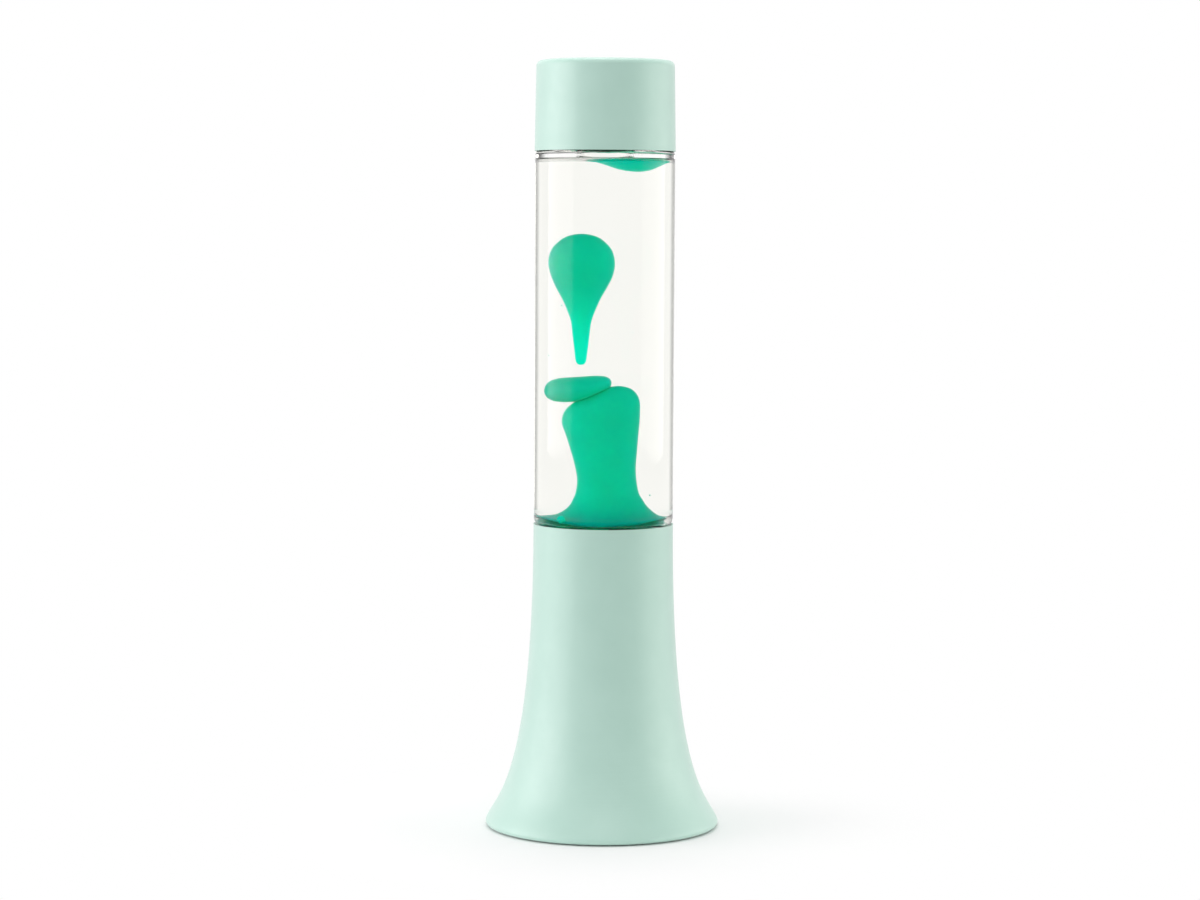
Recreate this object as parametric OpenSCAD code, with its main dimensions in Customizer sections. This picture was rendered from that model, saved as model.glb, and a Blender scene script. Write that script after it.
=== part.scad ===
// Lava lamp: a sealed glass bottle of liquid and wax that stands in a flared metal base
// with a reflector bulb inside, under a loose metal cap.
// Millimetres, +Z up. The origin is at the centre of the lamp's underside.

/* [Base] */
// Height of the base's rim above the table
base_h = 131.3; // [128:0.1:136]
// Largest radius of the flare, at the foot
foot_r = 50.2; // [48:0.1:53]
// Thickness of the spun shell
shell_wall = 0.9; // [0.8:0.1:1.1]

/* [Bottle] */
// Outside diameter of the glass tube
bottle_d = 60; // [59:0.1:61]
// Thickness of the glass tube
glass_wall = 1.5; // [1.3:0.1:1.8]
// Length of glass between the base's rim and the cap's edge
glass_show = 160; // [158:0.1:170]

/* [Cap] */
// Height of the cap
cap_h = 38.5; // [37:0.1:42]

/* [Bulb] */
// Largest diameter of the reflector bulb
bulb_d = 39; // [37:0.1:40]

/* [Cord] */
// Bore of the cord grommet
cord_bore_d = 6.2; // [5.6:0.1:6.8]

/* [Hidden] */

mint = [0.68, 0.84, 0.80];
green = [0.0, 0.72, 0.56];
$fn = 96;
tiny = 0.01;

// Base shell
rim_r = bottle_d / 2 + 0.1;
foot_z = 2.85;
foot_angle = 67.3;
foot_handle = 10.6;
rim_handle = 0.847 * base_h;
edge_z = 0.6;
edge_round = (foot_z - edge_z) / (1 + cos(foot_angle));
edge_centre = [foot_r - edge_round * sin(foot_angle), foot_z - edge_round * cos(foot_angle)];
lip_r = edge_centre[0] - 2.8;
flare_steps = 40;
arc_steps = 8;

// Bottle
glass_r = bottle_d / 2;
glass_in_r = glass_r - glass_wall;
bottle_z = base_h - 2;
heel_r = 5;
floor_z = bottle_z + 3;
cap_z = base_h + glass_show;
shoulder_r = 3;
shoulder_z = cap_z + 0.9;
ceiling_z = shoulder_z - 4.2;
neck_r = 12.5;
neck_in_r = 8;
neck_top_z = shoulder_z + 25;
lip_h = 5;
liquid_z = ceiling_z + 14;
crown_skirt_r = 16;
crown_sheet = 0.3;
liner_t = 0.6;

// Cap
cap_r = glass_r + 0.2;
cap_top_r = glass_r - 0.4;
cap_wall = 0.9;
cap_round = 2.5;

// Underside
plate_z = 1;
plate_t = 2;
plate_top = plate_z + plate_t;
plate_r = lip_r - 0.3;
foot_pad_r = 6;
foot_ring_r = 36;
foot_angles = [90, 210, 330];
lug_angles = [30, 150, 270];
lug_ring_r = 40;
lug_inner_r = 35;
lug_t = 1.5;
m3_r = 1.5;
m3_sink = 1.4;
tapped_z = plate_z + 0.4;

// Lamp holder, seen as a stack from the plate up
bracket_t = 1.2;
bracket_w = 16;
bracket_top = 20;
bracket_half = 17;
bracket_foot = 10;
bracket_hole_x = bracket_half + bracket_foot / 2;
nipple_r = 5;
nipple_bore_r = 3.6;
nut_h = 3;
nut_flats = 14;
holder_r = 13.5;
holder_wall = 2;
holder_top = bracket_top + 37;
insert_z = bracket_top + 11;
insert_t = 5;
deck_z = insert_z + insert_t;
contact_t = 1;
contact_r = 3.6;
tab_x = 9;
tab_w = 4;
tab_t = 0.8;

// Bulb, measured up from its own contact
bulb_z = deck_z + contact_t;
bulb_len = 67;
screw_r = 6.9;
screw_wave = 0.35;
screw_pitch = 2.82;
screw_turns = 6;
screw_z = bulb_z + 3.5;
screw_top = screw_z + screw_turns * screw_pitch;
bulb_contact_h = 0.8;
bulb_glass_t = 0.8;
filament_z = screw_z + 34;
filament_r = 6;
stem_top = screw_z + 24;

// Wiring
lead_r = 0.9;
lead_x = 2.5;
lead_bend = 5;
lead_z = 9;
block_y = 11;
block_size = [11, 14, 10];
block_screw_y = [block_y + 3.5, block_y + block_size[1] - 3.5];
grommet_z = 11.5;
grommet_y = [foot_r - 13.2, foot_r - 0.7];
grommet_r = 6.5;
grommet_neck_r = 4.6;

// A cubic curve through four control points, at t from 0 to 1
function curve_point(p, t) =
    pow(1 - t, 3) * p[0] + 3 * t * pow(1 - t, 2) * p[1] + 3 * t * t * (1 - t) * p[2] + pow(t, 3) * p[3];
// Its unit normal, to the left of the way along it
function curve_normal(p, t) =
    let (d = pow(1 - t, 2) * (p[1] - p[0]) + 2 * t * (1 - t) * (p[2] - p[1]) + t * t * (p[3] - p[2]))
    [-d[1], d[0]] / norm(d);
// Points on an arc
function arc(centre, r, from, to) =
    [for (i = [0:arc_steps]) let (a = from + (to - from) * i / arc_steps) centre + r * [cos(a), sin(a)]];

// A smooth run of points through keys. The last values of each key, from `shape` on, are widths, which
// stay above 0. The point before the first key has them mirrored where the shape closes there.
function smooth(keys, steps, shape) =
    let (k = concat([before(keys, shape)], keys, [before(reversed(keys), shape)]))
    concat([for (i = [1:len(keys) - 1], s = [0:steps - 1]) smooth_point(k, i, s / steps, shape)],
        [keys[len(keys) - 1]]);
function before(keys, shape) =
    let (k = keys[1])
    keys[0][shape] == 0 ? [for (i = [0:len(k) - 1]) i < shape ? k[i] : -k[i]] : 2 * keys[0] - k;
function reversed(keys) = [for (i = [len(keys) - 1:-1:0]) keys[i]];
function smooth_point(k, i, t, shape) =
    let (p = 0.5 * (2 * k[i] + t * (k[i + 1] - k[i - 1])
        + t * t * (2 * k[i - 1] - 5 * k[i] + 4 * k[i + 1] - k[i + 2])
        + t * t * t * (3 * k[i] - k[i - 1] - 3 * k[i + 1] + k[i + 2])))
    [for (j = [0:len(p) - 1]) j < shape ? p[j] : max(p[j], 0)];

// A blob of wax: oval rings up Z, each [height, centre in x, half-width, half-depth]
module blob(rings, sides) {
    open = [for (ring = rings) if (ring[2] > 0) ring];
    n = len(open);
    low = rings[0];
    high = rings[len(rings) - 1];
    points = concat([[low[1], 0, low[0]]],
        [for (ring = open, j = [0:sides - 1]) let (a = 360 * j / sides)
            [ring[1] + ring[2] * cos(a), ring[3] * sin(a), ring[0]]],
        [[high[1], 0, high[0]]]);
    last = len(points) - 1;
    faces = concat(
        [for (j = [0:sides - 1]) [0, 1 + j, 1 + (j + 1) % sides]],
        [for (i = [0:n - 2], j = [0:sides - 1], half = [0, 1])
            let (a = 1 + i * sides + j, b = 1 + i * sides + (j + 1) % sides)
            half == 0 ? [a, a + sides, b] : [b, a + sides, b + sides]],
        [for (j = [0:sides - 1]) let (s = 1 + (n - 1) * sides) [last, s + (j + 1) % sides, s + j]]);
    polyhedron(points, faces);
}

// ---- Cap and bottle ----

module cap() {
    top = cap_z + cap_h;
    inner = cap_round - cap_wall;
    outside = concat([[cap_r, cap_z]], arc([cap_top_r - cap_round, top - cap_round], cap_round, 0, 90));
    inside = concat(arc([cap_top_r - cap_round, top - cap_round], inner, 90, 0),
        [[cap_r - cap_wall, cap_z]]);
    color(mint) rotate_extrude()
        polygon(concat(outside, [[0, top], [0, top - cap_wall]], inside));
}

module crown_cap() {
    top = neck_top_z + liner_t + crown_sheet;
    height = 6;
    bend = 1.6;
    bend_at = [neck_r, top - bend];
    skirt_z = top - height;
    color("silver") rotate_extrude()
        polygon(concat(
            [[0, top - crown_sheet], [0, top]],
            arc(bend_at, bend, 90, 0),
            [[crown_skirt_r, skirt_z], [crown_skirt_r - crown_sheet, skirt_z]],
            arc(bend_at, bend - crown_sheet, 0, 90)));
}

module crown_liner() {
    color("white") translate([0, 0, neck_top_z]) cylinder(r = neck_r - 0.2, h = liner_t);
}

module glass_bottle() {
    fillet = 4;
    ring_z = shoulder_z + 14;
    ring_round = 1.5;
    lip_z = neck_top_z - lip_h;
    lip_round = 1;
    lip_x = neck_r - 0.7;
    outside = concat(
        [[0, bottle_z]],
        arc([glass_r - heel_r, bottle_z + heel_r], heel_r, -90, 0),
        arc([glass_r - shoulder_r, shoulder_z - shoulder_r], shoulder_r, 0, 90),
        arc([neck_r + fillet, shoulder_z + fillet], fillet, 270, 180),
        arc([neck_r, ring_z], ring_round, -90, 90),
        arc([lip_x, lip_z + lip_round], lip_round, -90, 0),
        arc([lip_x, neck_top_z - lip_round], lip_round, 0, 90));
    color([0.85, 0.93, 0.92, 0.35]) rotate_extrude()
        polygon(concat(outside, [[neck_in_r, neck_top_z]], cavity_outline(), [[0, floor_z]]));
}

// The wall of the bottle's hollow, from the neck's bore down to the floor
function cavity_outline() =
    let (edge = 2, corner = 2, inner_heel = heel_r - glass_wall)
    concat(
        arc([neck_in_r + edge, ceiling_z + edge], edge, 180, 270),
        arc([glass_in_r - corner, ceiling_z - corner], corner, 90, 0),
        arc([glass_in_r - inner_heel, floor_z + inner_heel], inner_heel, 0, -90));

module liquid() {
    color([0.93, 0.97, 0.96, 0.2]) difference() {
        rotate_extrude()
            polygon(concat([[0, floor_z], [0, liquid_z], [neck_in_r, liquid_z]], cavity_outline()));
        wax_slab();
        wax_drop();
        wax_pool();
    }
}

// ---- Wax, with sizes from the floor or the ceiling of the bottle ----

// Rings of the column: [height, centre in x, half-width, half-depth]
column_rings = [[0, -0.5, 18.8, 24.8], [0.6, -0.5, 20, 26.1], [1.5, -0.5, 20.1, 26], [2.9, 0.9, 16.6, 19.5],
    [7.6, 1.5, 12.3, 12.3], [13.3, 1.2, 10.2, 10.2], [20.5, 0.9, 9.6, 9.8], [30.7, 0.1, 10.7, 10.6],
    [43.2, -1, 12.6, 11.4], [47.7, -0.5, 12.3, 11], [51.5, 0.9, 10.8, 9.6], [56, 3.9, 6.3, 6.3],
    [58.3, 4.6, 3.1, 3.2], [58.9, 4.6, 0, 0]];
// Outline of the slab, a pebble: [height, radius]
slab_outline = [[-4.7, 0], [-4.4, 4.5], [-2.7, 8.8], [0, 10.6], [2.7, 9], [4.2, 5], [4.7, 0]];
// Outline of the drop: [height above the tail's end, radius]
drop_outline = [[0, 0], [0.4, 1.3], [2.5, 1.8], [10.3, 2.6], [18, 3.3], [23, 4.5], [28.3, 6.3],
    [33.4, 8.5], [38.6, 10.3], [43.8, 10.9], [48.9, 10], [52.8, 7.2], [55.8, 0]];
// Outline of the pool, up to the ceiling: [height, radius]
pool_outline = [[-5.7, 0], [-5.1, 4], [-3.5, 8.3], [-2.1, 10.8], [-0.9, 12.6], [0, 13.6]];

module wax_column() {
    color(green) translate([0, 0, floor_z]) blob(smooth(column_rings, 2, 2), 32);
}

// A revolved body of wax, from an outline of [height, radius] whose ends may lie off the axis
module revolved(outline, steps) {
    rings = smooth(outline, steps, 1);
    top = rings[len(rings) - 1];
    rotate_extrude()
        polygon(concat([for (p = rings) [p[1], p[0]]], top[1] > 0 ? [[0, top[0]]] : []));
}

module wax_slab() {
    tilt = 16;
    color(green) translate([-9, 0, floor_z + 59]) rotate([0, -tilt, 0]) revolved(slab_outline, 4);
}

module wax_drop() {
    color(green) translate([-7.5, 0, floor_z + 67.5]) revolved(drop_outline, 4);
}

module wax_pool() {
    color(green) translate([8.5, 0, ceiling_z]) revolved(pool_outline, 4);
}

module wax_bead() {
    bead_r = 1.8;
    color(green) translate([-16.5, -16, floor_z + 2.2]) sphere(r = bead_r);
}

// The metal coil that lies in the wax on the bottle's floor
module wax_coil() {
    coil_r = 1.4;
    ring_r = 15;
    color("darkgray") translate([0, 0, floor_z + coil_r]) rotate_extrude()
        translate([ring_r, 0]) circle(r = coil_r);
}

// ---- Base ----

flare = [[rim_r, base_h], [rim_r, base_h - rim_handle],
    [foot_r - foot_handle * cos(foot_angle), foot_z + foot_handle * sin(foot_angle)], [foot_r, foot_z]];
// The flare from the rim to the foot, moved inwards by a wall
function flare_line(inwards) =
    [for (i = [0:flare_steps])
        let (t = i / flare_steps) curve_point(flare, t) - inwards * curve_normal(flare, t)];

module shell_solid() {
    rotate_extrude()
        polygon(concat(
            flare_line(0),
            arc(edge_centre, edge_round, 90 - foot_angle, -90),
            [[lip_r, edge_z], [lip_r, edge_z + shell_wall]],
            arc(edge_centre, edge_round - shell_wall, -90, 90 - foot_angle),
            reversed(flare_line(shell_wall))));
}

// The space inside the shell, above the bottom plate
module shell_space() {
    inside = [for (p = flare_line(shell_wall)) if (p[1] > plate_top) p];
    rotate_extrude()
        polygon(concat([[0, base_h]], inside, [[inside[len(inside) - 1][0], plate_top], [0, plate_top]]));
}

module base_shell() {
    color(mint) difference() {
        shell_solid();
        grommet_hole();
    }
}

module grommet_hole() {
    translate([0, foot_r, grommet_z]) rotate([90, 0, 0]) cylinder(r = grommet_neck_r, h = foot_r - 30);
}

module bottle_seat() {
    ledge_t = 1;
    drop = 8;
    ledge_r = 22;
    ring_r = rim_r - shell_wall;
    color("white") rotate_extrude()
        polygon([[ledge_r, bottle_z - ledge_t], [ledge_r, bottle_z], [ring_r, bottle_z],
            [ring_r, bottle_z - drop], [ring_r - ledge_t, bottle_z - drop],
            [ring_r - ledge_t, bottle_z - ledge_t]]);
}

// A slot with round ends, cut down through the bottom plate, from r1 to r2
module plate_slot(r1, r2, w) {
    translate([0, 0, plate_z - tiny]) linear_extrude(plate_t + 2 * tiny) {
        translate([r1, -w / 2]) square([r2 - r1, w]);
        translate([r1, 0]) circle(d = w, $fn = 32);
        translate([r2, 0]) circle(d = w, $fn = 32);
    }
}

module bottom_plate() {
    vents_per_group = 3;
    vent_step = 9;
    vent_r = [30, 39];
    vent_w = 2.6;
    color([0.12, 0.12, 0.12]) difference() {
        translate([0, 0, plate_z]) cylinder(r = plate_r, h = plate_t);
        for (group = [0:60:300], k = [0:vents_per_group - 1])
            rotate(group + (k - 1) * vent_step) plate_slot(vent_r[0], vent_r[1], vent_w);
        for (a = lug_angles) rotate(a) translate([lug_ring_r, 0, plate_z]) screw_seat();
        for (side = [-1, 1])
            translate([side * bracket_hole_x, 0, tapped_z]) cylinder(r = m3_r, h = plate_t);
    }
}

// Countersunk through hole, from the underside up
module screw_seat() {
    translate([0, 0, -tiny]) cylinder(r1 = m3_r + m3_sink + tiny, r2 = m3_r, h = m3_sink + tiny);
    cylinder(r = m3_r, h = plate_t + tiny);
}

module plate_lugs() {
    lug_w = 12;
    collar_h = 3;
    collar_wall = 1.5;
    color("silver") for (a = lug_angles) rotate(a) difference() {
        intersection() {
            shell_space();
            union() {
                translate([lug_inner_r, -lug_w / 2, plate_top]) cube([foot_r, lug_w, lug_t]);
                translate([lug_ring_r, 0, plate_top]) cylinder(r = m3_r + collar_wall, h = lug_t + collar_h);
            }
        }
        translate([lug_ring_r, 0, plate_top - tiny]) cylinder(r = m3_r, h = lug_t + collar_h + 1);
    }
}

module plate_screws() {
    thread_h = 7;
    recess = 0.9;
    color("gray") for (a = lug_angles) rotate(a) translate([lug_ring_r, 0, plate_z]) difference() {
        union() {
            cylinder(r1 = m3_r + m3_sink, r2 = m3_r, h = m3_sink);
            cylinder(r = m3_r, h = thread_h);
        }
        translate([0, 0, -tiny]) cross_slot(recess);
    }
}

// A cross recess for a screwdriver, cut up from z = 0
module cross_slot(depth) {
    slot = [2.6, 0.6];
    for (turn = [0, 90]) rotate(turn)
        translate([-slot[0] / 2, -slot[1] / 2, 0]) cube([slot[0], slot[1], depth]);
}

module foot(i) {
    edge = 0.4;
    rounded = arc([foot_pad_r - edge, edge], edge, -90, 0);
    color([0.1, 0.1, 0.1]) rotate(foot_angles[i - 1]) translate([foot_ring_r, 0, 0]) rotate_extrude()
        polygon(concat([[0, 0]], rounded, [[foot_pad_r, plate_z], [0, plate_z]]));
}

// The grommet's two collars hug the sloping shell from inside and outside
module cord_grommet() {
    length = grommet_y[1] - grommet_y[0];
    color([0.1, 0.1, 0.1]) difference() {
        translate([0, grommet_y[1], grommet_z]) rotate([90, 0, 0]) cylinder(r = grommet_r, h = length);
        base_shell();
        translate([0, grommet_y[1] + 1, grommet_z]) rotate([90, 0, 0])
            cylinder(d = cord_bore_d, h = length + 2);
    }
}

// ---- Lamp holder and wiring ----

module holder_bracket() {
    height = bracket_top - plate_top;
    color("silver") difference() {
        union() {
            translate([-bracket_half, -bracket_w / 2, bracket_top - bracket_t])
                cube([2 * bracket_half, bracket_w, bracket_t]);
            for (side = [0, 1]) mirror([side, 0, 0]) {
                translate([bracket_half - bracket_t, -bracket_w / 2, plate_top])
                    cube([bracket_t, bracket_w, height]);
                translate([bracket_half - bracket_t, -bracket_w / 2, plate_top])
                    cube([bracket_foot + bracket_t, bracket_w, bracket_t]);
            }
        }
        translate([0, 0, bracket_top - 2 * bracket_t]) cylinder(r = nipple_r, h = 3 * bracket_t);
        for (side = [-1, 1])
            translate([side * bracket_hole_x, 0, plate_top - tiny]) cylinder(r = m3_r, h = 2 * bracket_t);
    }
}

module bracket_screws() {
    head_h = 1.8;
    recess = 0.9;
    head_z = plate_top + bracket_t;
    color("gray") for (side = [-1, 1]) translate([side * bracket_hole_x, 0, 0]) difference() {
        union() {
            translate([0, 0, tapped_z]) cylinder(r = m3_r, h = head_z - plate_z);
            translate([0, 0, head_z]) cylinder(r = 2 * m3_r, h = head_h);
        }
        translate([0, 0, head_z + head_h - recess]) cross_slot(recess + tiny);
    }
}

module holder_nipple() {
    below = nut_h + 1;
    above = 7;
    color("silver") translate([0, 0, bracket_top - bracket_t - below]) difference() {
        cylinder(r = nipple_r, h = below + bracket_t + above);
        translate([0, 0, -1]) cylinder(r = nipple_bore_r, h = below + bracket_t + above + 2);
    }
}

module nipple_nut() {
    color("silver") translate([0, 0, bracket_top - bracket_t - nut_h]) difference() {
        cylinder(r = nut_flats / 2 / cos(30), h = nut_h, $fn = 6);
        translate([0, 0, -1]) cylinder(r = nipple_r, h = nut_h + 2);
    }
}

module holder_body() {
    floor_t = 4;
    lip_t = 2;
    lip_inner = screw_r + 1.6;
    inner = holder_r - holder_wall;
    low_round = 1.5;
    top_round = 1;
    color([0.95, 0.95, 0.92]) rotate_extrude()
        polygon(concat(
            [[nipple_r, bracket_top]],
            arc([holder_r - low_round, bracket_top + low_round], low_round, -90, 0),
            arc([holder_r - top_round, holder_top - top_round], top_round, 0, 90),
            [[lip_inner, holder_top], [lip_inner, holder_top - lip_t], [inner, holder_top - lip_t],
            [inner, bracket_top + floor_t], [nipple_r, bracket_top + floor_t]]));
}

module holder_insert() {
    color("ivory") translate([0, 0, insert_z]) difference() {
        cylinder(r = holder_r - holder_wall, h = insert_t);
        translate([-lead_x, 0, -1]) cylinder(r = lead_r, h = insert_t + 2);
        translate([tab_x - tab_t, -tab_w / 2, -1]) cube([tab_t, tab_w, insert_t + 2]);
    }
}

// A rolled thread's outline at height z above its start, as a wave in radius
function wave(r, z) = r - screw_wave * cos(360 * z / screw_pitch);
function thread_line(r) =
    [for (i = [0:screw_turns * arc_steps]) let (z = i * screw_pitch / arc_steps) [wave(r, z), z]];
module thread_tube(r, wall) {
    rotate_extrude() polygon(concat(thread_line(r), reversed(thread_line(r - wall))));
}

// The threaded brass shell, with the tab that the neutral lead meets below the insert
module holder_shell() {
    wall = 0.35;
    gap = 0.15;
    flange = 0.8;
    flange_t = 0.6;
    outer = screw_r + gap + wall;
    neck = outer - screw_wave;
    bore = outer - 1;
    tab_z = insert_z - tab_t;
    color("goldenrod") {
        translate([0, 0, screw_z]) thread_tube(outer, wall);
        difference() {
            translate([0, 0, deck_z]) cylinder(r = outer + flange, h = flange_t);
            translate([0, 0, deck_z - 1]) cylinder(r = bore, h = 3);
        }
        difference() {
            translate([0, 0, deck_z]) cylinder(r = neck, h = screw_z - deck_z);
            translate([0, 0, deck_z - 1]) cylinder(r = neck - wall, h = screw_z - deck_z + 2);
        }
        translate([neck, -tab_w / 2, deck_z]) cube([tab_x - neck, tab_w, flange_t]);
        translate([tab_x - tab_t, -tab_w / 2, tab_z]) cube([tab_t, tab_w, deck_z - tab_z + flange_t]);
        translate([lead_x - 1, -tab_w / 2, tab_z]) cube([tab_x - lead_x + 1, tab_w, tab_t]);
    }
}

module holder_contact() {
    color("goldenrod") translate([0, 0, deck_z]) cylinder(r = contact_r, h = contact_t);
}

module terminal_block() {
    wire_bore_r = 1.6;
    color("white") difference() {
        translate([-block_size[0] / 2, block_y, plate_top]) cube(block_size);
        for (side = [-1, 1]) {
            translate([side * lead_x, block_y - 1, lead_z]) rotate([-90, 0, 0])
                cylinder(r = wire_bore_r, h = block_size[1] + 2);
            for (y = block_screw_y)
                translate([side * lead_x, y, lead_z]) cylinder(r = m3_r, h = block_size[2]);
        }
    }
}

module terminal_screws() {
    low = lead_z + lead_r;
    height = plate_top + block_size[2] - 0.4 - low;
    slot = [0.6, 0.8];
    color("gray") for (side = [-1, 1], y = block_screw_y) translate([side * lead_x, y, low]) difference() {
        cylinder(r = m3_r, h = height);
        translate([-m3_r - 1, -slot[0] / 2, height - slot[1]]) cube([2 * m3_r + 2, slot[0], slot[1] + 1]);
    }
}

// A lead comes out of the block towards the middle, then turns up through the nipple
module lead(side, top) {
    in_block = 5;
    turn_z = lead_z + lead_bend;
    translate([side * lead_x, lead_bend, lead_z]) rotate([-90, 0, 0])
        cylinder(r = lead_r, h = block_y + in_block - lead_bend);
    translate([side * lead_x, lead_bend, turn_z]) rotate([90, 0, 90]) rotate(180)
        rotate_extrude(angle = 90) translate([lead_bend, 0]) circle(r = lead_r);
    translate([side * lead_x, 0, turn_z]) cylinder(r = lead_r, h = top - turn_z);
}

module lead_live() { color("saddlebrown") lead(-1, deck_z); }
module lead_neutral() { color("royalblue") lead(1, insert_z - tab_t); }

// ---- Bulb ----

module bulb_glass() {
    r = bulb_d / 2;
    top = bulb_z + bulb_len;
    neck = screw_r - screw_wave - 0.7;
    neck_h = 11;
    bowl_h = 20;
    rim_round = 5;
    rim_z = top - 9;
    low = screw_top - 2;
    bowl = [[neck, low], [neck, low + neck_h], [r, rim_z - bowl_h], [r, rim_z]];
    face = [[r, rim_z], [r, rim_z + rim_round], [r * 0.6, top], [0, top]];
    steps = [0:1 / 14:1];
    outside = concat([for (t = steps) curve_point(bowl, t)],
        [for (t = steps) if (t > 0) curve_point(face, t)]);
    inside = concat([for (t = steps) curve_point(bowl, t) + bulb_glass_t * curve_normal(bowl, t)],
        [for (t = steps) if (t > 0) curve_point(face, t) + bulb_glass_t * curve_normal(face, t)]);
    color([0.9, 0.92, 0.95, 0.5]) rotate_extrude() polygon(concat(outside, reversed(inside)));
}

module bulb_screw_shell() {
    wall = 0.3;
    color("silver") translate([0, 0, screw_z]) thread_tube(screw_r, wall);
}

module bulb_insulator() {
    low = bulb_z + bulb_contact_h;
    top_r = screw_r - screw_wave;
    color([0.08, 0.08, 0.1]) translate([0, 0, low]) cylinder(r1 = 3, r2 = top_r, h = screw_z - low);
}

module bulb_contact() {
    color("silver") translate([0, 0, bulb_z]) cylinder(r1 = 2, r2 = 2.6, h = bulb_contact_h);
}

module bulb_stem() {
    stem_r = 2;
    foot_h = 15;
    color([0.9, 0.92, 0.95, 0.5]) translate([0, 0, screw_z]) {
        cylinder(r1 = 2 * stem_r, r2 = stem_r, h = foot_h);
        translate([0, 0, foot_h]) cylinder(r = stem_r, h = stem_top - screw_z - foot_h);
    }
}

// The wires are sealed in the stem's top
module bulb_wires() {
    wire_r = 0.3;
    from = [1, 0, stem_top - 2];
    to = [filament_r, 0, filament_z];
    color("gray") for (side = [0, 1]) mirror([side, 0, 0])
        translate(from) rotate([0, atan2(to[0] - from[0], to[2] - from[2]), 0])
            cylinder(r = wire_r, h = norm(to - from), $fn = 24);
}

module bulb_filament() {
    coil_r = 0.35;
    color("dimgray") translate([0, 0, filament_z]) rotate([90, 0, 0]) rotate_extrude(angle = 180)
        translate([filament_r, 0]) circle(r = coil_r, $fn = 24);
}

cap();
crown_cap();
crown_liner();
glass_bottle();
liquid();
wax_column();
wax_slab();
wax_drop();
wax_pool();
wax_bead();
wax_coil();
base_shell();
bottle_seat();
bottom_plate();
plate_lugs();
plate_screws();
foot(1);  // foot_1
foot(2);  // foot_2
foot(3);  // foot_3
cord_grommet();
holder_bracket();
bracket_screws();
holder_nipple();
nipple_nut();
holder_body();
holder_insert();
holder_shell();
holder_contact();
terminal_block();
terminal_screws();
lead_live();
lead_neutral();
bulb_glass();
bulb_screw_shell();
bulb_insulator();
bulb_contact();
bulb_stem();
bulb_wires();
bulb_filament();
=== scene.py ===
"""Lava lamp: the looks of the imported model, in metres, +Z up, with the front towards -Y."""
import bpy
from math import cos, pi, radians, sin
from mathutils import Matrix, Vector, noise

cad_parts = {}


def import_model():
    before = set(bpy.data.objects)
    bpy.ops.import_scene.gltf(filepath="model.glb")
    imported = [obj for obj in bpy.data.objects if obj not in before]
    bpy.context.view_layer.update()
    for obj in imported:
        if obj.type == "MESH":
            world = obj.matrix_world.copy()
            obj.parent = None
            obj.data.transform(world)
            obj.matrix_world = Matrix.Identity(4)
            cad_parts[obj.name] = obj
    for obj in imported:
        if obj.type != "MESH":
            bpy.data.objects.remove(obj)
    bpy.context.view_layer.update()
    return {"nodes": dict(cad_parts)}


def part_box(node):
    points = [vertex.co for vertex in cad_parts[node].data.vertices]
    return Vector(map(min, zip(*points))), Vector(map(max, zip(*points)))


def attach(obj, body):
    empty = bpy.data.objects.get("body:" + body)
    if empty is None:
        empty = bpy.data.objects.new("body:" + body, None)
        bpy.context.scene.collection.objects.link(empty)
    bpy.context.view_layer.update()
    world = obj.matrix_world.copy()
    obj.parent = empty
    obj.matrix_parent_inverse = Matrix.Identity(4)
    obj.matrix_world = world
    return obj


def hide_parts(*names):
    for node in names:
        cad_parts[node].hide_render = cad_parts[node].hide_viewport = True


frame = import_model()
MM = 0.001

# ---- Places and sizes from the frame ----


def low(node):
    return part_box(node)[0]


def high(node):
    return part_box(node)[1]


def middle(node, axis):
    return (low(node)[axis] + high(node)[axis]) / 2


glass_r = high("glass_bottle")[0]
bottle_z = low("glass_bottle")[2]
neck_top = high("glass_bottle")[2]
glass_wall = glass_r - high("liquid")[0]
floor_z = low("liquid")[2]
liquid_top = high("liquid")[2]
ceiling_z = high("wax_pool")[2]
TAU = 2 * pi


# ---- Outlines and meshes ----


def arc(r, z, radius, start, end, steps=10):
    """Points (radius, height) on an arc, angles in degrees."""
    angles = [radians(start + (end - start) * i / steps) for i in range(steps + 1)]
    return [(r + radius * cos(a), z + radius * sin(a)) for a in angles]


def spline(t, before, start, end, after):
    """A Catmull-Rom curve from start (t = 0) to end (t = 1)."""
    slope = end - before
    bend = 2 * before - 5 * start + 4 * end - after
    twist = 3 * start - before - 3 * end + after
    return 0.5 * (2 * start + t * slope + t * t * bend + t ** 3 * twist)


def smooth_keys(keys, steps, widths=1):
    """A smooth run through the keys. The last `widths` values close to zero where a key's are zero."""
    def beyond(end, inner):
        if end[-1] == 0:
            split = len(end) - widths
            return [v if i < split else -v for i, v in enumerate(inner)]
        return [2 * e - v for e, v in zip(end, inner)]

    k = [beyond(keys[0], keys[1]), *keys, beyond(keys[-1], keys[-2])]
    run = []
    for i in range(1, len(k) - 2):
        for s in range(steps):
            t = s / steps
            around = zip(k[i - 1], k[i], k[i + 1], k[i + 2])
            run.append([spline(t, *values) for values in around])
    return run + [list(keys[-1])]


def mesh_object(name, verts, faces):
    mesh = bpy.data.meshes.new(name)
    mesh.from_pydata(verts, [], faces)
    mesh.validate()
    mesh.polygons.foreach_set("use_smooth", [True] * len(mesh.polygons))
    obj = bpy.data.objects.new(name, mesh)
    bpy.context.scene.collection.objects.link(obj)
    return obj


def grid_faces(rows, sides, closed=False):
    """Quads between rings of `sides` points; closed joins the last ring to the first."""
    faces = []
    for i in range(rows if closed else rows - 1):
        a, b = i * sides, (i + 1) % rows * sides
        for j in range(sides):
            k = (j + 1) % sides
            faces.append((a + j, a + k, b + k, b + j))
    return faces


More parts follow.
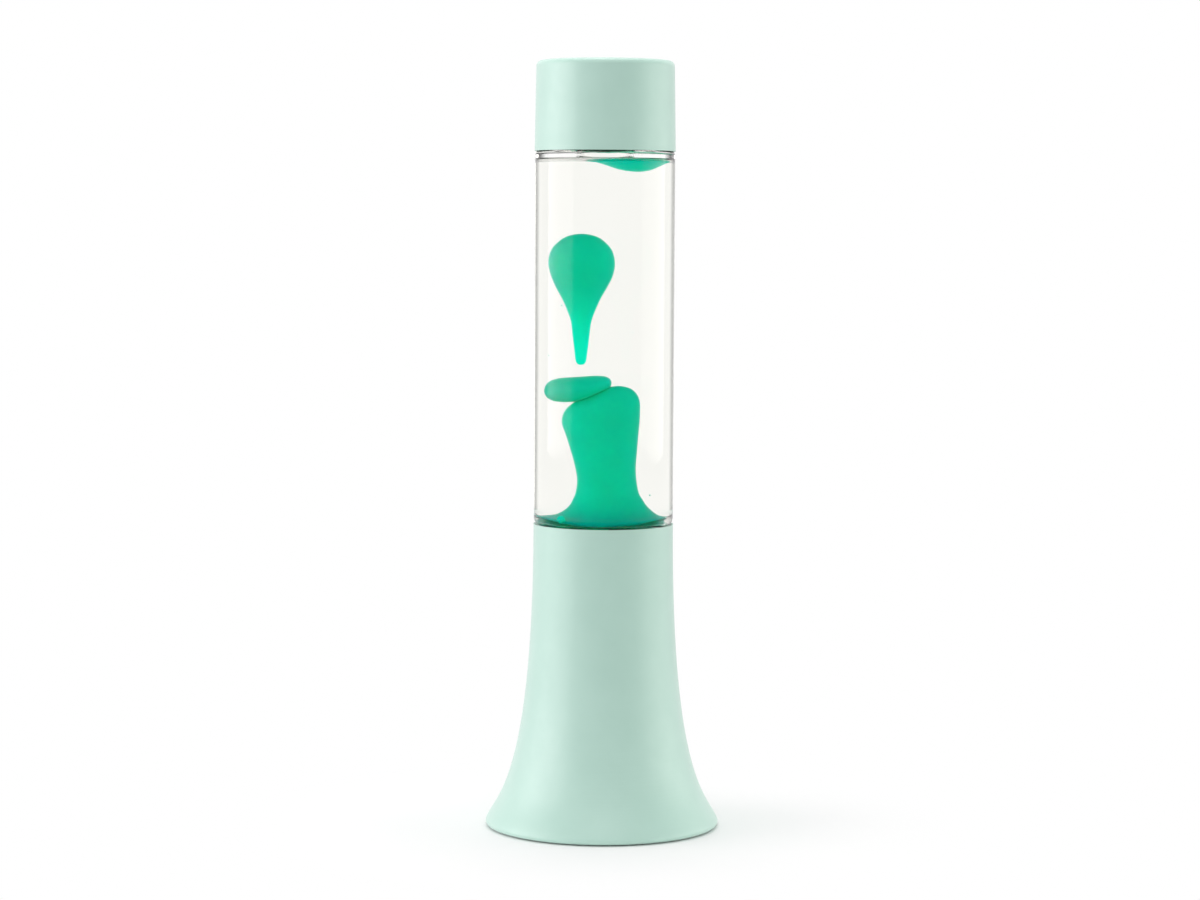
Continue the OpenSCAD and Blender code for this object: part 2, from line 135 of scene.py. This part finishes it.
def skin(name, rings, start_pole=None, end_pole=None, closed=False):
    """A surface through rings of points, each end closed by a pole where one is given."""
    sides = len(rings[0])
    verts = [p for ring in rings for p in ring]
    faces = grid_faces(len(rings), sides, closed)
    if start_pole is not None:
        verts.append(start_pole)
        faces += [(len(verts) - 1, (j + 1) % sides, j) for j in range(sides)]
    if end_pole is not None:
        verts.append(end_pole)
        first = (len(rings) - 1) * sides
        faces += [(len(verts) - 1, first + j, first + (j + 1) % sides) for j in range(sides)]
    return mesh_object(name, verts, faces)


def lathe(name, outline, sides):
    """Turns (radius, height) points round Z. Points on the axis become poles."""
    turns = [TAU * j / sides for j in range(sides)]
    rings = [[(r * cos(a), r * sin(a), z) for a in turns] for r, z in outline if r > 0]
    start, end = [(0, 0, z) if r == 0 else None for r, z in (outline[0], outline[-1])]
    return skin(name, rings, start, end)


def tube(name, path, radius, sides=8, closed=False):
    """A round wire along a path of points, without twist."""
    path = [Vector(p) for p in path]
    count = len(path)
    turns = [TAU * j / sides for j in range(sides)]
    rings = []
    side = None
    for i, p in enumerate(path):
        ahead = path[(i + 1) % count] if closed or i < count - 1 else p
        behind = path[i - 1] if closed or i > 0 else p
        along = (ahead - behind).normalized()
        if side is None:
            side = along.orthogonal().normalized()
        side = (side - along * side.dot(along)).normalized()
        up = along.cross(side)
        rings.append([tuple(p + radius * (cos(a) * side + sin(a) * up)) for a in turns])
    ends = (None, None) if closed else (tuple(path[0]), tuple(path[-1]))
    return skin(name, rings, *ends, closed=closed)


def wobble(obj, size, amount, seed):
    """Moves each vertex along its normal by smooth noise, so that a blob isn't a perfect curve."""
    mesh = obj.data
    shift = Vector((seed, seed, seed))
    moves = [v.normal * amount * noise.noise(v.co / size + shift) for v in mesh.vertices]
    for v, move in zip(mesh.vertices, moves):
        v.co += move


def dress(obj, material):
    obj.data.materials.clear()
    obj.data.materials.append(material)


def piece(obj, body, material, slot, *nodes):
    """A finished piece: its material, the body it rides on and the CAD nodes it stands for."""
    dress(obj, material)
    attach(obj, body)
    if nodes:
        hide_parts(*nodes)


# ---- Materials ----


class Look:
    """A Principled material with noise on colour, roughness or relief, in object coordinates."""

    def __init__(self, name, **sockets):
        self.material = bpy.data.materials.new(name)
        self.material.use_nodes = True
        self.tree = self.material.node_tree
        self.shader = self.tree.nodes["Principled BSDF"]
        for label, value in sockets.items():
            self.shader.inputs[label.replace("_", " ")].default_value = value
        self.coords = self.tree.nodes.new("ShaderNodeTexCoord").outputs["Object"]

    def node(self, kind, inputs=(), **fields):
        n = self.tree.nodes.new(kind)
        for field, value in fields.items():
            setattr(n, field, value)
        for key, value in dict(inputs).items():
            if isinstance(value, bpy.types.NodeSocket):
                self.tree.links.new(value, n.inputs[key])
            else:
                n.inputs[key].default_value = value
        return n

    def stretched(self, scale):
        return self.node("ShaderNodeMapping", {"Vector": self.coords, "Scale": scale}).outputs[0]

    def noise(self, size, detail=3.0, coords=None):
        """Noise whose blotches are about `size` metres across."""
        inputs = {"Vector": coords or self.coords, "Scale": 1 / size, "Detail": detail, "Roughness": 0.55}
        return self.node("ShaderNodeTexNoise", inputs).outputs["Fac"]

    def colours(self, factor, *stops):
        """Colour along stops of (place, colour), driven by factor."""
        ramp = self.node("ShaderNodeValToRGB", {"Fac": factor})
        elements = ramp.color_ramp.elements
        while len(elements) < len(stops):
            elements.new(0.5)
        for element, (place, colour) in zip(elements, stops):
            element.position = place
            element.color = (*colour, 1)
        self.tree.links.new(ramp.outputs["Color"], self.shader.inputs["Base Color"])

    def ranged(self, factor, socket, least, most):
        """Drives a socket from least to most over the middle of a noise."""
        inputs = {"Value": factor, "From Min": 0.3, "From Max": 0.7, "To Min": least, "To Max": most}
        value = self.node("ShaderNodeMapRange", inputs).outputs[0]
        self.tree.links.new(value, self.shader.inputs[socket])

    def relief(self, height, depth):
        bump = self.node("ShaderNodeBump", {"Height": height, "Distance": depth, "Strength": 1.0})
        self.tree.links.new(bump.outputs[0], self.shader.inputs["Normal"])


def mix(a, b, share):
    return tuple(x + (y - x) * share for x, y in zip(a, b))


def plain(name, colour, rough, spread=0.08, depth=0.02 * MM):
    """A material of one colour with a little mottling, uneven gloss and fine relief."""
    look = Look(name)
    size = 2 * MM
    shades = (0.32, mix(colour, (0, 0, 0), spread)), (0.68, mix(colour, (1, 1, 1), spread / 3))
    look.colours(look.noise(size * 4), *shades)
    look.ranged(look.noise(size * 3, 2), "Roughness", rough - 0.05, rough + 0.05)
    look.relief(look.noise(size / 4, 2), depth)
    return look.material


def metal(name, colour, rough, grain=(1, 1, 30), depth=0.004 * MM):
    """A metal with fine scratches that run along the long direction of the grain."""
    look = Look(name, Metallic=1.0)
    scratches = look.noise(1.2 * MM, 4, look.stretched(grain))
    look.colours(scratches, (0.3, mix(colour, (0, 0, 0), 0.16)), (0.7, mix(colour, (1, 1, 1), 0.1)))
    look.ranged(look.noise(2.5 * MM), "Roughness", rough - 0.06, rough + 0.08)
    look.relief(scratches, depth)
    return look.material


MINT = (0.425, 0.655, 0.565)


def mint_paint():
    """Matt powder coat: a fine orange peel, faint clouding, a soft satin reflection."""
    dark, pale = (mix(MINT, end, 0.018) for end in ((0, 0, 0), (1, 1, 1)))
    look = Look("mint_paint", Specular_IOR_Level=1.0, Sheen_Weight=0.4, Sheen_Roughness=0.5)
    look.colours(look.noise(14 * MM, 2), (0.3, dark), (0.7, pale))
    look.ranged(look.noise(5 * MM), "Roughness", 0.42, 0.50)
    look.relief(look.noise(0.55 * MM, 2), 0.012 * MM)
    return look.material


CLEAR = (0.982, 0.982, 0.967)


def clear(name, ior, shine):
    """A clear material with a slow waviness. Shine is the share of its facing reflection that is left."""
    dulled = (shine, shine, shine, 1)
    look = Look(name, Transmission_Weight=1.0, IOR=ior, Roughness=0.0, Specular_Tint=dulled)
    cloudy = look.noise(25 * MM, 1)
    look.colours(cloudy, (0.3, mix(CLEAR, (0, 0, 0), 0.004)), (0.7, CLEAR))
    look.relief(look.noise(11 * MM, 1, look.stretched((1, 1, 0.25))), 0.02 * MM)
    return look.material


def green_wax(name, painted_glow, glow_heights=None):
    """Cloudy wax with a painted glow, an emission that stands in for light coming through it. Where two
    heights are given, the painted glow grows from the upper one down to the lower one."""
    look = Look(
        name, IOR=1.09, Roughness=0.3, Specular_Tint=(0, 0, 0, 1), Subsurface_Weight=1.0,
        Subsurface_Scale=9 * MM, Subsurface_Radius=(0.1, 1.0, 0.7),
        # painted glow: emission colour and strength on wax, which is no lamp
        Emission_Color=(0.0, 0.77, 0.49, 1), Emission_Strength=painted_glow,
    )
    cloudy = look.noise(9 * MM, 3)
    look.colours(cloudy, (0.3, (0.0, 0.86, 0.54)), (0.7, (0.0, 0.92, 0.59)))
    look.relief(look.noise(3 * MM, 2), 0.02 * MM)
    # painted glow, stronger towards the lower height, standing in for light through the thin tail
    if glow_heights:
        height = look.node("ShaderNodeSeparateXYZ", {"Vector": look.coords}).outputs["Z"]
        ends = {"From Min": glow_heights[0], "From Max": glow_heights[1], "To Min": 0.42, "To Max": painted_glow}
        inputs = {"Value": height, **ends}
        painted_glow = look.node("ShaderNodeMapRange", inputs, interpolation_type="SMOOTHSTEP").outputs[0]
        look.tree.links.new(painted_glow, look.shader.inputs["Emission Strength"])
    return look.material


PAINT = mint_paint()
GLASS = clear("clear_glass", ior=1.5, shine=0.09)
WET_GLASS = clear("wet_glass", ior=1.5, shine=0.1)
LIQUID = clear("clear_liquid", ior=1.33, shine=0.1)
# All wax has a painted glow, emission standing in for light coming through it: faint here, strong on the
# pool and bead, and on the drop growing towards its tail.
WAX = green_wax("green_wax", 0.04)
BRIGHT_GLOW_WAX = green_wax("green_wax_bright_glow", 0.30)
drop_z = low("wax_drop")[2]
RAMPED_GLOW_WAX = green_wax("green_wax_ramped_glow", 0.06, glow_heights=(drop_z, drop_z + 38 * MM))
ENAMEL = plain("white_enamel", (0.78, 0.79, 0.76), 0.35)
TIN = metal("tinplate", (0.72, 0.71, 0.66), 0.28)
SOFT = plain("soft_plastic", (0.78, 0.78, 0.72), 0.5)
WIRE = metal("steel_wire", (0.52, 0.53, 0.54), 0.3)
BLACK = plain("black_plastic", (0.018, 0.018, 0.02), 0.5, spread=0.3, depth=0.05 * MM)
ZINC = metal("zinc_steel", (0.62, 0.65, 0.68), 0.32, grain=(1, 12, 1))
SCREW = metal("screw_steel", (0.42, 0.43, 0.44), 0.3)
RUBBER = plain("black_rubber", (0.014, 0.014, 0.015), 0.75, spread=0.3, depth=0.06 * MM)
HOLDER = plain("holder_white", (0.76, 0.76, 0.71), 0.42)
IVORY = plain("insert_ivory", (0.68, 0.63, 0.50), 0.22)
BRASS = metal("contact_brass", (0.80, 0.58, 0.25), 0.26)
TERMINAL = plain("terminal_white", (0.80, 0.80, 0.75), 0.45)
BROWN = plain("lead_brown", (0.085, 0.030, 0.012), 0.38)
BLUE = plain("lead_blue", (0.010, 0.055, 0.28), 0.38)
NICKEL = metal("bulb_metal", (0.70, 0.69, 0.66), 0.25)
VITRITE = plain("insulator_black", (0.012, 0.011, 0.016), 0.12)
TUNGSTEN = metal("tungsten", (0.24, 0.24, 0.25), 0.45)


def bulb_envelope():
    """A silvered bowl below the rim, frosted glass on the face above it."""
    look = Look("bulb_envelope", IOR=1.5)
    rim_z = high("bulb_glass")[2] - 7 * MM
    height = look.node("ShaderNodeSeparateXYZ", {"Vector": look.coords}).outputs["Z"]
    inputs = {"Value": height, "From Min": rim_z - 0.5 * MM, "From Max": rim_z + 0.5 * MM}
    face = look.node("ShaderNodeMapRange", inputs).outputs[0]
    look.colours(face, (0.0, (0.86, 0.87, 0.88)), (1.0, (0.93, 0.94, 0.94)))
    bowl = look.node("ShaderNodeMath", {0: 1.0, 1: face}, operation="SUBTRACT").outputs[0]
    look.tree.links.new(bowl, look.shader.inputs["Metallic"])
    look.tree.links.new(face, look.shader.inputs["Transmission Weight"])
    rough = look.node("ShaderNodeMapRange", {"Value": face, "To Min": 0.14, "To Max": 0.42}).outputs[0]
    look.tree.links.new(rough, look.shader.inputs["Roughness"])
    look.relief(look.noise(0.4 * MM, 2), 0.01 * MM)
    return look.material


ENVELOPE = bulb_envelope()

# ---- CAD nodes that keep their shape ----

KEPT = {
    "cap": PAINT, "base_shell": PAINT, "bottle_seat": ENAMEL, "crown_liner": SOFT,
    "bottom_plate": BLACK, "plate_lugs": ZINC, "plate_screws": SCREW, "foot_1": RUBBER, "foot_2": RUBBER,
    "foot_3": RUBBER, "cord_grommet": RUBBER, "holder_bracket": ZINC, "bracket_screws": SCREW,
    "holder_nipple": ZINC, "nipple_nut": SCREW, "holder_body": HOLDER, "holder_insert": IVORY,
    "holder_shell": BRASS, "holder_contact": BRASS, "terminal_block": TERMINAL,
    "terminal_screws": SCREW, "lead_live": BROWN, "lead_neutral": BLUE, "bulb_glass": ENVELOPE,
    "bulb_insulator": VITRITE, "bulb_contact": NICKEL, "bulb_stem": GLASS, "bulb_wires": WIRE,
}
for node, material in KEPT.items():
    dress(frame["nodes"][node], material)

# ---- Bottle and liquid ----


BORE = 8 * MM


def bottle_outline():
    """The glass as two runs: its underside, outside and lip, then the wall of its hollow."""
    heel = 5 * MM
    shoulder = 3 * MM
    fillet = 4 * MM
    shoulder_z = neck_top - 25 * MM
    neck = 12.5 * MM
    ring_z = shoulder_z + 14 * MM
    underside = bottle_z + 0.4 * MM
    ring_r = 1.5 * MM
    lip_r = neck - 0.7 * MM
    outside = [(0, underside), (glass_r - heel - 4 * MM, underside)]
    outside += arc(glass_r - heel, bottle_z + heel, heel, -90, 0, 24)
    outside += arc(glass_r - shoulder, shoulder_z - shoulder, shoulder, 0, 90, 20)
    outside += arc(neck + fillet, shoulder_z + fillet, fillet, 270, 180, 14)
    outside += arc(neck, ring_z, ring_r, -90, 90, 12)
    outside += arc(lip_r, neck_top - 4 * MM, MM, -90, 0, 6)
    outside += arc(lip_r, neck_top - MM, MM, 0, 90, 6)
    edge = 0.6 * MM
    outside += arc(BORE + edge, neck_top - edge, edge, 90, 180, 6)
    return outside, cavity(0)


def cavity(grow):
    """The wall of the hollow from the neck's bore to the floor, moved out by grow."""
    corner = 2 * MM
    mouth = MM
    heel = 5 * MM - glass_wall
    inner = glass_r - glass_wall
    top, bottom = ceiling_z + grow, floor_z - grow
    wall = arc(BORE + mouth, ceiling_z + mouth, mouth - grow, 180, 270, 10)
    wall += arc(inner - corner, top - corner - grow, corner + grow, 90, 0, 16)
    wall += arc(inner - heel, bottom + heel + grow, heel + grow, 0, -90, 20)
    return wall + [(0, bottom)]


def liquid_outline():
    """The liquid reaches a little into the glass, so that no air shows between them."""
    reach = 0.15 * MM
    dip = 0.4 * MM
    rim = 1.2 * MM
    top = [(0, liquid_top - dip)] + arc(BORE - rim, liquid_top - dip + rim, rim, -90, 0, 6)
    return (top + [(BORE + reach, liquid_top)] + cavity(reach))[::-1]


def make_bottle():
    """Where the glass is wet it hardly reflects, so its hollow has a material of its own."""
    sides = 192
    dry, wet = bottle_outline()
    bottle = lathe("bottle_glass", dry + wet, sides)
    piece(bottle, "bottle", GLASS, "clear_glass", "glass_bottle")
    bottle.data.materials.append(WET_GLASS)
    first_wet = (len(dry) - 1) * sides
    for face in bottle.data.polygons:
        if all(v >= first_wet for v in face.vertices):
            face.material_index = 1


make_bottle()
piece(lathe("liquid_fill", liquid_outline(), 192), "bottle", LIQUID, "clear_liquid", "liquid")

# ---- Wax: keys in millimetres ----


def blob(name, keys, steps, sides, origin, along="z"):
    """An oval body. Keys are (place along, centre across in x or z, half-width, half-depth in y)."""
    def placed(place, across, away):
        point = (across, away, place) if along == "z" else (place, -away, across)
        return tuple(Vector(point) * MM + origin)

    run = smooth_keys(keys, steps, 2)
    rings = []
    for place, centre, width, depth in run:
        if width <= 1e-6:
            continue
        ring = []
        for j in range(sides):
            a = TAU * j / sides
            ring.append(placed(place, centre + width * cos(a), depth * sin(a)))
        rings.append(ring)
    first, last = (placed(key[0], key[1], 0) for key in (run[0], run[-1]))
    return skin(name, rings, first, last)


# (height above the floor, centre x, half-width, half-depth)
COLUMN = [
    (0.05, -0.5, 18.8, 25.1), (0.5, -0.5, 20.0, 26.4), (1.4, -0.5, 20.1, 26.3), (2.9, 0.9, 16.6, 19.5),
    (5.2, 1.4, 14.1, 14.6), (7.6, 1.5, 12.3, 12.3), (10.2, 1.4, 11.2, 11.0), (13.3, 1.2, 10.2, 10.2),
    (20.5, 0.9, 9.6, 9.8), (30.7, 0.1, 10.7, 10.6), (38.5, -0.65, 11.9, 11.2), (43.2, -1, 12.6, 11.4),
    (47.7, -0.5, 12.3, 11.0), (51.5, 0.9, 10.8, 9.6), (54.4, 2.8, 8.2, 7.8), (56.7, 4.1, 5.6, 5.6),
    (58.2, 4.6, 3.2, 3.4), (58.9, 4.6, 0, 0),
]
# (place along x, centre height, half-height, half-depth)
SLAB = [
    (-19.6, 56.2, 0, 0), (-19.2, 56.3, 2.1, 3.4), (-17.6, 56.6, 4.1, 6.4), (-14.5, 56.9, 5.1, 8.6),
    (-10, 57.3, 5.3, 9.7), (-6, 58.1, 4.9, 9.6), (-2.6, 59.1, 4.1, 8.4), (0.2, 59.8, 3.1, 6.2),
    (1.8, 60.0, 1.9, 3.7), (2.4, 60.0, 0, 0),
]
# (height above the tail's end, radius)
DROP = [
    (0, 0), (0.25, 0.9), (0.9, 1.35), (2.5, 1.75), (10.3, 2.55), (18, 3.3), (22.8, 4.5), (28.3, 6.3),
    (33.4, 8.5), (38.6, 10.3), (43.8, 10.9), (48.9, 9.9), (52.6, 7.4), (54.9, 4.3), (55.8, 0),
]
# (height from the ceiling, centre x, half-width, half-depth)
POOL = [
    (-5.6, 1.9, 0, 0), (-5.3, 1.7, 3, 3.2), (-4.6, 1.3, 5.6, 6), (-3.4, 0.9, 8.1, 8.6),
    (-2.3, 0.6, 10.4, 10.8), (-1.3, 0.0, 12.6, 12.6), (-0.6, -0.8, 13.9, 13.3), (-0.2, -0.8, 13.5, 13.0),
    (0.05, -0.8, 12.6, 12.2),
]
# (height above its lowest point, centre x, half-width, half-depth)
BEAD = [(0, 0, 0, 0), (0.3, 0, 1.0, 1.0), (1.7, 0, 1.9, 1.8), (3.2, 0, 1.2, 1.1), (3.6, 0, 0, 0)]


def make_wax():
    column = blob("wax_column_body", COLUMN, 6, 96, Vector((0, 0, floor_z)))
    slab = blob("wax_slab_body", SLAB, 6, 72, Vector((0, 0, floor_z)), along="x")
    tail = Vector((middle("wax_drop", 0), 0, drop_z + 0.3 * MM))
    drop = blob("wax_drop_body", [(h, 0, r, r) for h, r in DROP], 6, 72, tail)
    pool = blob("wax_pool_body", POOL, 6, 72, Vector((middle("wax_pool", 0), 0, ceiling_z)))
    foot = Vector((middle("wax_bead", 0), middle("wax_bead", 1), low("wax_bead")[2]))
    bead = blob("wax_bead_body", BEAD, 6, 32, foot)
    for obj, body, material, node in (
        (column, "bottle", WAX, "wax_column"), (slab, "wax_slab", WAX, "wax_slab"),
        (drop, "wax_drop", RAMPED_GLOW_WAX, "wax_drop"), (pool, "wax_pool", BRIGHT_GLOW_WAX, "wax_pool"),
        # the bead takes the pool's stronger painted glow, so that it stands out from the wax at its foot
        (bead, "bottle", BRIGHT_GLOW_WAX, "wax_bead"),
    ):
        wobble(obj, 9 * MM, 0.16 * MM, len(node))
        piece(obj, body, material, "green_wax", node)


make_wax()


def specks():
    """A few crumbs of wax that float in the liquid: x, y, z and radius in millimetres."""
    places = [(-15, -6, 225.5, 0.28), (-19.5, -4, 204, 0.22), (16.2, -5, 144.5, 0.28), (9, 3, 214, 0.15)]
    crumb = [
        (-1, 0, 0, 0), (-0.6, 0.1, 0.8, 0.7), (0.1, 0, 1.1, 0.9), (0.8, -0.1, 0.6, 0.7), (1.1, 0, 0, 0),
    ]
    for i, (x, y, z, r) in enumerate(places):
        keys = [tuple(v * r for v in key) for key in crumb]
        speck = blob(f"wax_speck_{i + 1}", keys, 3, 12, Vector((x, y, z)) * MM)
        piece(speck, "bottle", WAX, "green_wax")


specks()

# ---- Metal pieces with coils, threads and flutes ----


def wire_coil(name, ring_r, coil_r, wire_r, turns, z, per_turn=14):
    """A wire wound round a ring that lies flat."""
    path = []
    for i in range(turns * per_turn):
        a, b = TAU * i / (turns * per_turn), TAU * i / per_turn
        r = ring_r + coil_r * cos(b)
        path.append((r * cos(a), r * sin(a), z + coil_r * sin(b)))
    return tube(name, path, wire_r, 8, closed=True)


def screw_tube(name, r, wave, pitch, bottom, top, wall, sides=96, per_turn=12):
    """A tube with a rolled thread, a helix that fades out at both ends."""
    rows = int((top - bottom) / pitch * per_turn)

    def ring(i, inset):
        z = bottom + (top - bottom) * i / rows
        fade = min(1, (z - bottom) / (pitch / 2), (top - z) / (pitch / 2))
        points = []
        for j in range(sides):
            a = TAU * j / sides
            depth = wave * fade * (1 - cos(TAU * (z - bottom) / pitch - a)) / 2
            points.append(((r - inset - depth) * cos(a), (r - inset - depth) * sin(a), z))
        return points

    rings = [ring(i, 0) for i in range(rows + 1)] + [ring(i, wall) for i in range(rows, -1, -1)]
    return skin(name, rings, closed=True)


def crown():
    """The crown cap: a domed top, a rolled corner and a fluted skirt. Each outline point is
    (radius, height, how deep the flutes are there)."""
    flutes = 21
    flute_depth = 0.55 * MM
    top, bottom = high("crown_cap")[2], low("crown_cap")[2]
    skirt_r = high("crown_cap")[0]
    sheet = 0.3 * MM
    sides = flutes * 10
    outline = [(3 * MM, top, 0), (8 * MM, top, 0), (12 * MM, top - 0.1 * MM, 0)]
    outline += [(r, z, 0) for r, z in arc(12.6 * MM, top - 1.5 * MM, 1.4 * MM, 80, 10, 6)]
    outline += [(14.3 * MM, top - 2.4 * MM, 0.25), (15.1 * MM, top - 4 * MM, 0.7), (skirt_r, bottom, 1)]

    def ring(r, z, flute, inset):
        points = []
        for j in range(sides):
            a = TAU * j / sides
            reach = r - inset - flute * flute_depth * (1 + cos(flutes * a))
            points.append((reach * cos(a), reach * sin(a), z - (inset if not flute else 0)))
        return points

    inside = [ring(*point, sheet) for point in outline]
    outside = [ring(*point, 0) for point in reversed(outline)]
    rings = inside + outside
    return skin("crown_fluted", rings, (0, 0, top - sheet), (0, 0, top))


def filament():
    """A fine coil bent into a half circle, in the plane of X and Z."""
    low_corner, high_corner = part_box("bulb_filament")
    coil_r = 0.28 * MM
    arch_r = high_corner[0] - 0.35 * MM
    turns, per_turn = 46, 8
    path = []
    for i in range(turns * per_turn + 1):
        a, b = pi * i / (turns * per_turn), TAU * i / per_turn
        r = arch_r + coil_r * cos(b)
        path.append((r * cos(a), coil_r * sin(b), low_corner[2] + r * sin(a)))
    return tube("filament_coil", path, 0.05 * MM, 6)


def bulb_thread():
    """The E14 bulb's screw shell."""
    low_corner, high_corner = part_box("bulb_screw_shell")
    pitch = 2.82 * MM
    wave = 0.7 * MM
    sheet = 0.3 * MM
    return screw_tube("bulb_thread", high_corner[0], wave, pitch, low_corner[2], high_corner[2], sheet)


def coil_in_wax():
    """The steel wire wound round a ring on the bottle's floor."""
    coil_z = middle("wax_coil", 2)
    coil_r = high("wax_coil")[2] - coil_z
    ring_r = high("wax_coil")[0] - coil_r
    wire_r = 0.25 * MM
    return wire_coil("coil_of_wire", ring_r, coil_r - wire_r, wire_r, turns=70, z=coil_z)


piece(coil_in_wax(), "bottle", WIRE, "steel_wire", "wax_coil")
piece(crown(), "bottle", TIN, "tinplate", "crown_cap")
piece(bulb_thread(), "bulb", NICKEL, "bulb_metal", "bulb_screw_shell")
piece(filament(), "bulb", TUNGSTEN, "tungsten", "bulb_filament")

# ---- Floor, light and camera ----


LAMP_MIDDLE = (0, 0, 0.17)


def studio_strength(tree, direction):
    """How bright the studio is in a direction. The camera sees white. Rays through glass also see
    a low black card at each side, mirrored rays see a dim front, and diffuse rays a dim ceiling."""
    def link(node, **inputs):
        for key, source in inputs.items():
            tree.links.new(source, node.inputs[key.replace("_", " ")])
        return node.outputs[0]

    def level(least, most, start=0.0, end=1.0):
        """A node that maps start..end to least..most."""
        node = tree.nodes.new("ShaderNodeMapRange")
        for label, value in zip(("From Min", "From Max", "To Min", "To Max"), (start, end, least, most)):
            node.inputs[label].default_value = value
        return node

    def math(operation, *sources):
        node = tree.nodes.new("ShaderNodeMath")
        node.operation = operation
        for slot, source in enumerate(sources):
            tree.links.new(source, node.inputs[slot])
        return node.outputs[0]

    paths = tree.nodes.new("ShaderNodeLightPath").outputs
    way = tree.nodes.new("ShaderNodeVectorMath")
    way.operation = "NORMALIZE"
    tree.links.new(direction, way.inputs[0])
    axes = tree.nodes.new("ShaderNodeSeparateXYZ")
    tree.links.new(way.outputs[0], axes.inputs[0])
    mirrored = link(level(0.10, 1.0, -0.4, 0.3), Value=axes.outputs["Y"])
    card = link(level(0.0, 1.0, -0.5, -0.3), Value=axes.outputs["Y"])
    for axis, none, full in (("X", 0.72, 0.85), ("Z", 0.17, 0.12)):
        size = math("ABSOLUTE", axes.outputs[axis])
        card = math("MULTIPLY", card, link(level(0.0, 1.0, none, full), Value=size))
    through = link(level(1.0, 0.05), Value=card)
    strength = link(level(0.0, 1.0), Value=paths["Is Camera Ray"])
    soft = link(level(0.89, 0.64, 0.0, 0.9), Value=axes.outputs["Z"])
    views = (("Is Diffuse Ray", soft), ("Is Glossy Ray", mirrored), ("Is Transmission Ray", through))
    for ray, seen in views:
        choice = level(0.0, 1.0)
        tree.links.new(strength, choice.inputs["To Min"])
        tree.links.new(seen, choice.inputs["To Max"])
        strength = link(choice, Value=paths[ray])
    return strength


def floor():
    """A white floor that melts into the background away from the lamp."""
    look = Look("studio_floor", Roughness=0.75)
    look.colours(look.noise(0.2, 2), (0.3, (0.93, 0.93, 0.93)), (0.7, (0.95, 0.95, 0.95)))
    look.relief(look.noise(2 * MM, 2), 0.01 * MM)
    far = look.node("ShaderNodeVectorMath", {0: look.coords}, operation="LENGTH").outputs["Value"]
    ends = {"Value": far, "From Min": 0.056, "From Max": 0.16}
    share = look.node("ShaderNodeMapRange", ends, interpolation_type="SMOOTHSTEP")
    emission = look.node("ShaderNodeEmission", {"Color": (1, 1, 1, 1)})
    wax_height = (0, 0, 0.2)
    seen = look.node("ShaderNodeVectorMath", {0: look.coords, 1: wax_height}, operation="SUBTRACT")
    look.tree.links.new(studio_strength(look.tree, seen.outputs[0]), emission.inputs["Strength"])
    blend = {0: share.outputs[0], 1: look.shader.outputs[0], 2: emission.outputs[0]}
    join = look.node("ShaderNodeMixShader", blend)
    look.tree.links.new(join.outputs[0], look.tree.nodes["Material Output"].inputs["Surface"])
    disc = lathe("studio_floor", [(0, 0), (0.1, 0), (0.6, 0), (4, 0)], sides=96)
    disc.data.flip_normals()
    dress(disc, look.material)


def world():
    sky = bpy.data.worlds.new("studio")
    sky.use_nodes = True
    bpy.context.scene.world = sky
    tree = sky.node_tree
    direction = tree.nodes.new("ShaderNodeTexCoord").outputs["Generated"]
    background = tree.nodes["Background"]
    background.inputs["Color"].default_value = (1, 1, 1, 1)
    tree.links.new(studio_strength(tree, direction), background.inputs["Strength"])


def softbox(name, place, width, height, power, colour=(1, 1, 1)):
    """A rectangular light that faces the lamp and stays out of the camera's sight."""
    data = bpy.data.lights.new(name, "AREA")
    data.shape = "RECTANGLE"
    data.size, data.size_y = width, height
    data.energy = power
    data.color = colour
    light = bpy.data.objects.new(name, data)
    bpy.context.scene.collection.objects.link(light)
    light.location = place
    light.rotation_euler = (Vector(LAMP_MIDDLE) - Vector(place)).to_track_quat("-Z", "Y").to_euler()
    light.visible_camera = False


def lights():
    rosy, warm = (1.0, 0.92, 0.955), (1.0, 0.985, 0.93)
    softbox("left_softbox", (-1.73, -0.30, 0.24), 1.7, 1.5, 25.5, rosy)
    softbox("right_softbox", (1.75, 0.0, 0.15), 1.7, 1.0, 12.8, warm)
    softbox("back_softbox", (0, 1.0, 1.75), 1.6, 1.2, 3)
    softbox("front_softbox", (0, -1.2, 1.4), 1.0, 1.0, 3.5)
    softbox("cap_softbox", (0, 0.05, 0.75), 0.25, 0.25, 0.85)


def camera():
    """The photo's viewing angle: level with the bottle's upper half, from 1.34 m in front."""
    data = bpy.data.cameras.new("camera")
    data.lens = 93.9
    data.sensor_width = 36
    data.sensor_fit = "HORIZONTAL"
    cam = bpy.data.objects.new("camera", data)
    bpy.context.scene.collection.objects.link(cam)
    pitch = radians(90 - 4.22)
    roll = radians(0.3)
    cam.matrix_world = (
        Matrix.Translation((-1.57 * MM, -1344.9 * MM, 262.3 * MM))
        @ Matrix.Rotation(pitch, 4, "X")
        @ Matrix.Rotation(roll, 4, "Z")
    )
    bpy.context.scene.camera = cam


floor()
world()
lights()
camera()
scene = bpy.context.scene
scene.view_settings.view_transform = "Standard"
scene.cycles.max_bounces = 32
scene.cycles.transmission_bounces = 32
